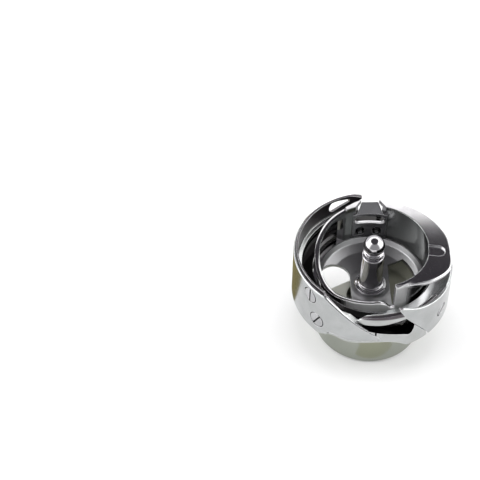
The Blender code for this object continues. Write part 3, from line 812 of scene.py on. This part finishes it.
def body_finish(nodes, at):
    """Painted shade inside and on top of the tall wall, a hub darkened with painted shade, a cup floor that
    is rougher and less metallic with painted light on its left and painted shade on its right, and painted
    shade in the raceway.
    """
    # painted shade: a darker, slightly rougher colour inside the tall wall and on its top
    wall_shade = nodes.mask((at.away, 16.8, 16.65), (at.away, 15.5, 15.7), (at.z, 20.0, 20.4))
    # painted shade: the hub gets a darker colour than the body's steel, standing in for the shaded floor it
    # reflects
    hub = nodes.mask((at.z, 11.8, 9.2))
    inside = nodes.math("MAXIMUM", nodes.span(at.away, 11.35, 11.1), nodes.span(at.z, 9.6, 9.9))
    cup = nodes.math("MULTIPLY", nodes.mask((at.z, 8.3, 8.45), (at.away, 14.2, 13.8)), inside)
    # painted light on the cup floor's left and painted shade on its right
    cup_light_and_shade = nodes.mix(nodes.span(at.x, -3.0, 2.0), (0.88, 0.89, 0.80, 1.0), (0.25, 0.25, 0.20, 1.0))
    return EDGE_HIGHLIGHT, [
        Patch(wall_shade, TALL_WALL_SHADE, rougher=0.12),
        Patch(hub, (0.36, 0.375, 0.335, 1.0)),
        Patch(cup, cup_light_and_shade, rougher=0.25, duller=0.7),
        race_painted_shade(nodes, at),
    ]


def holder_finish(nodes, at):
    """Ground and not polished on the front of the outer wall and on the floor; painted shade on the floor,
    the inner lining and in the raceway; painted highlights on the edges and the flange's outer bevel at the
    front, and painted shade on them at the back.
    """
    wall = nodes.mask((at.away, 12.1, 12.3), (at.along, -0.80, -0.90), (at.z, 18.2, 18.4))
    # painted shade: the holder's recessed floor gets a darker colour, besides its rougher ground finish
    floor = nodes.mask((at.z, 15.7, 15.3), (at.away, 11.45, 11.3))
    # painted shade: a darker colour on the inner face of the holder's wall
    lining_shade = nodes.mask((at.away, 11.65, 11.5), (at.z, 15.7, 16.1))
    # the flange's outer bevel gets the edge colour: painted highlight at the front, painted shade at the
    # back
    bevel_light_and_shade = nodes.mask((at.z, 25.17, 25.13), (at.z, 24.90, 24.94), (at.away, 12.5, 12.7))
    # painted edge colour: a highlight at the front, shade at the back
    edge_light_and_shade = nodes.mix(nodes.span(at.along, 0.03, 0.15), EDGE_HIGHLIGHT, BACK_EDGE_SHADE)
    return edge_light_and_shade, [
        Patch(wall, (0.66, 0.66, 0.66, 1.0), rougher=0.27, duller=0.6),
        Patch(floor, (0.34, 0.34, 0.345, 1.0), rougher=0.27),
        Patch(lining_shade, (0.29, 0.30, 0.295, 1.0)),
        Patch(bevel_light_and_shade, edge_light_and_shade),
        race_painted_shade(nodes, at),
    ]


def plate_finish(nodes, at):
    """The painted shade on top of the tall wall goes on over the guard plate's upper face."""
    return EDGE_HIGHLIGHT, [Patch(nodes.mask((at.z, 23.65, 23.7)), TALL_WALL_SHADE)]


def screw_finish(nodes, at):
    """Painted shade in the slot and round the head: a near-black colour, over the edges too."""
    return EDGE_HIGHLIGHT, [Patch(nodes.mask((at.z, -0.05, -0.10)), SLOT_SHADE, covers_edges=True)]


def plain_finish(nodes, at):
    return EDGE_HIGHLIGHT, []


def hairline_scratches(nodes, at, clouds):
    """Thin bands of a noise that is stretched along a slanted direction, in some of the clouds."""
    stretch = nodes.add("ShaderNodeMapping")
    nodes.link(at.all, stretch.inputs["Vector"])
    stretch.inputs["Rotation"].default_value = (0.5, 0.9, 0.3)
    stretch.inputs["Scale"].default_value = (5.2, 0.33, 5.2)
    noise = nodes.noise(stretch.outputs["Vector"], 1.0, 1.0)
    thin = nodes.span(nodes.math("ABSOLUTE", nodes.math("SUBTRACT", noise, 0.5)), 0.0, 0.02, 1.0, 0.0)
    return nodes.math("MULTIPLY", thin, nodes.span(clouds, 0.45, 0.62))


def turned_lines(nodes, at):
    """A noise that is fine in radius and height, and long round the axis."""
    pitch, round_axis = 9.0, 2.0
    across, along = (nodes.math("MULTIPLY", value, round_axis) for value in (at.across, at.along))
    fine = [nodes.math("MULTIPLY", value, pitch) for value in (at.away, at.z)]
    return nodes.noise(nodes.vector(*fine, across), 1.0, 2.0, along)


def steel(name, colour, tint, roughness, lines=0.3, cloud=0.06, scratches=0.35, finish=plain_finish):
    """Machined steel: fine turned lines, hairline scratches, faint clouds, and rounded, rougher edges in the
    finish's edge colour, a painted highlight that is partly rubbed wear.
    """
    line_rough, edge_rough, least_rough = 0.12, 0.25, 0.03
    material = bpy.data.materials.new(name)
    material.use_nodes = True
    nodes = Nodes(material.node_tree)
    shader = material.node_tree.nodes["Principled BSDF"]
    at = Place(nodes)
    edge_light_and_shade, patches = finish(nodes, at)
    clouds = nodes.noise(at.all, 0.26, 3.0)
    dust = nodes.noise(at.all, 0.9, 4.0)
    turning = turned_lines(nodes, at)
    hairlines = hairline_scratches(nodes, at, clouds)
    soft = nodes.add("ShaderNodeBevel", samples=4)
    soft.inputs["Radius"].default_value = 0.16 * MM
    bend = nodes.add("ShaderNodeVectorMath", operation="DOT_PRODUCT")
    nodes.link(soft.outputs["Normal"], bend.inputs[0])
    nodes.link(nodes.add("ShaderNodeNewGeometry").outputs["Normal"], bend.inputs[1])
    edge = nodes.span(bend.outputs["Value"], 0.99, 0.90)

    base = nodes.mix(nodes.span(clouds, 0.3, 0.7), colour, tint)
    base = nodes.mix(nodes.math("MULTIPLY", nodes.span(dust, 0.55, 0.8), 0.12), base, DUST_COLOUR)
    for patch in patches:
        if not patch.covers_edges:
            base = nodes.mix(patch.mask, base, patch.colour)
    # the edges take a painted highlight, and on the holder's back painted shade
    base = nodes.mix(edge, base, edge_light_and_shade)
    for patch in patches:
        if patch.covers_edges:
            base = nodes.mix(patch.mask, base, patch.colour)
    nodes.link(base, shader.inputs["Base Color"])

    start = roughness - 0.5 * cloud - 0.5 * line_rough * lines
    rough = nodes.total(start, (clouds, cloud), (turning, line_rough * lines),
                        (hairlines, line_rough * scratches), (edge, edge_rough),
                        *((patch.mask, patch.rougher) for patch in patches if patch.rougher))
    nodes.link(nodes.math("MAXIMUM", rough, least_rough), shader.inputs["Roughness"])
    nodes.link(nodes.total(1.0, *((patch.mask, -patch.duller) for patch in patches if patch.duller)),
               shader.inputs["Metallic"])

    bump = nodes.add("ShaderNodeBump")
    bump.inputs["Strength"].default_value = 0.35
    bump.inputs["Distance"].default_value = 0.004 * MM
    nodes.link(nodes.total(0.0, (turning, lines), (hairlines, -0.6 * scratches)), bump.inputs["Height"])
    nodes.link(soft.outputs["Normal"], bump.inputs["Normal"])
    nodes.link(bump.outputs["Normal"], shader.inputs["Normal"])
    return material


satin = steel("satin_steel", (0.47, 0.48, 0.48, 1), (0.40, 0.41, 0.40, 1), 0.22, lines=0.5,
              finish=body_finish)
plate_steel = steel("plate_steel", (0.45, 0.46, 0.46, 1), (0.39, 0.40, 0.40, 1), 0.20, lines=0.4,
                    finish=plate_finish)
polished = steel("polished_steel", (0.49, 0.485, 0.49, 1), (0.43, 0.42, 0.435, 1), 0.085, lines=0.15,
                 cloud=0.03, finish=holder_finish)
polished_post = steel("polished_post_steel", (0.60, 0.58, 0.60, 1), (0.52, 0.51, 0.53, 1), 0.07)
insert_steel = steel("insert_steel", (0.42, 0.42, 0.43, 1), (0.36, 0.36, 0.37, 1), 0.22, lines=0.04,
                     scratches=0.15)
screw_steel = steel("screw_steel", (0.50, 0.50, 0.51, 1), (0.40, 0.40, 0.41, 1), 0.18, lines=0.5,
                    finish=screw_finish)


# ---------------------------------------------------------------- the light tent and the camera

def make_floor():
    half_width, drop = 1.2, 0.00002
    mesh = bpy.data.meshes.new("floor")
    form = bmesh.new()
    bmesh.ops.create_grid(form, x_segments=1, y_segments=1, size=half_width)
    form.to_mesh(mesh)
    form.free()
    floor = add_object("floor", mesh)
    floor.location.z = -drop
    material = bpy.data.materials.new("pale_paper")
    material.use_nodes = True
    nodes = Nodes(material.node_tree)
    shader = material.node_tree.nodes["Principled BSDF"]
    fibres = nodes.noise(nodes.add("ShaderNodeTexCoord").outputs["Object"], 90.0, 4.0)
    nodes.link(nodes.mix(fibres, (0.90, 0.90, 0.90, 1), (0.94, 0.94, 0.94, 1)), shader.inputs["Base Color"])
    shader.inputs["Roughness"].default_value = 0.9
    shader.inputs["Specular IOR Level"].default_value = 0.1
    mesh.materials.append(material)


def make_world():
    """A tent with white walls and a dark roof: the walls reach highest in front, and that one is grey."""
    world = bpy.data.worlds.new("tent")
    bpy.context.scene.world = world
    world.use_nodes = True
    nodes = Nodes(world.node_tree)
    parts = nodes.add("ShaderNodeSeparateXYZ")
    nodes.link(nodes.add("ShaderNodeTexCoord").outputs["Generated"], parts.inputs[0])
    x, y, z = parts.outputs
    flat = nodes.math("SQRT", nodes.total(0.0, (x, x), (y, y)))
    backward = nodes.math("DIVIDE", y, nodes.math("MAXIMUM", flat, 0.001))  # -1 in front, 1 at the back
    front, side, back = (sin(radians(e)) for e in WALL_TOP)
    square = nodes.math("MULTIPLY", backward, backward)
    top = nodes.total(side, (square, (front + back) / 2 - side), (backward, (back - front) / 2))
    walls = nodes.mix(nodes.span(backward, -0.75, -0.35), FRONT_COLOUR, WALL_COLOUR)
    walls = nodes.mix(nodes.mask((backward, 0.3, 0.7), (z, 0.42, 0.30)), walls, LOW_BACK_COLOUR)
    above = nodes.math("SUBTRACT", z, top)
    colour = nodes.mix(nodes.span(above, -0.012, 0.014), walls, ROOF_COLOUR)
    background = world.node_tree.nodes["Background"]
    nodes.link(colour, background.inputs["Color"])
    background.inputs["Strength"].default_value = WALL_BRIGHTNESS


def softbox(name, azimuth, elevation, distance, width, depth, power):
    """A rectangular lamp that faces the object."""
    light = bpy.data.lights.new(name, "AREA")
    light.shape = "RECTANGLE"
    light.size, light.size_y = width, depth
    light.energy = power
    lamp = bpy.data.objects.new(name, light)
    work.objects.link(lamp)
    a, e = radians(azimuth), radians(elevation)
    lamp.location = Vector((cos(e) * cos(a), cos(e) * sin(a), sin(e))) * distance + AIM
    lamp.rotation_euler = (lamp.location - AIM).to_track_quat("Z", "Y").to_euler()
    return lamp


def make_card(name, x_span, y_span, colour):
    """A coloured card on the floor that only shows in the steel."""
    height = 0.1
    (left, right), (front, rear) = x_span, y_span
    corners = [(left, front), (right, front), (right, rear), (left, rear)]
    mesh = bpy.data.meshes.new(name)
    mesh.from_pydata([(x * MM, y * MM, height * MM) for x, y in corners], [], [(0, 1, 2, 3)])
    card = add_object(name, mesh)
    material = bpy.data.materials.new(name)
    material.use_nodes = True
    material.node_tree.nodes["Principled BSDF"].inputs["Base Color"].default_value = colour
    mesh.materials.append(material)
    card.visible_camera = card.visible_diffuse = card.visible_shadow = False


def make_camera():
    data = bpy.data.cameras.new("camera")
    data.lens, data.sensor_width, data.clip_start = CAMERA_LENS, 36.0, 0.001
    camera = bpy.data.objects.new("camera", data)
    work.objects.link(camera)
    camera.location = CAMERA_PLACE
    camera.rotation_euler = (radians(CAMERA_TILT), 0, 0)
    bpy.context.scene.camera = camera


# ---------------------------------------------------------------- the scene

AIM = Vector((0, 0, 0.015))
CAMERA_PLACE = (-0.02827, -0.194995, 0.240854)
CAMERA_TILT = 42.35  # degrees up from straight down
CAMERA_LENS = 103.62
WALL_TOP = (60.0, 54.0, 42.9)  # elevation of the walls' top in front, at the sides and at the back
WALL_COLOUR = (1.0, 1.0, 1.0, 1.0)
LOW_BACK_COLOUR = (0.35, 0.35, 0.36, 1.0)
FRONT_COLOUR = (0.17, 0.17, 0.175, 1.0)
ROOF_COLOUR = (0.030, 0.028, 0.032, 1.0)
WALL_BRIGHTNESS = 2.45

make_hook_body()
make_guard_plate()
make_race_gib()
make_screws()
make_holder()
make_position_plate()
make_centre_post()
make_floor()
make_world()
make_card("warm_card", (-60, -17.4), (4.5, 60), (0.20, 0.165, 0.05, 1))
make_card("hub_card", (-4.0, 8.0), (-19.5, -12.5), (0.72, 0.72, 0.60, 1))
top_box = softbox("softbox_top", 270, 88, 0.6, 0.3, 0.3, 1.0)
top_box.visible_glossy = False  # it whitens the floor and leaves the steel alone
softbox("softbox_left", 175, 30, 0.5, 0.20, 0.26, 0.45)
softbox("softbox_right", 5, 30, 0.5, 0.20, 0.26, 0.45)
make_camera()
bpy.context.scene.view_settings.view_transform = "Standard"
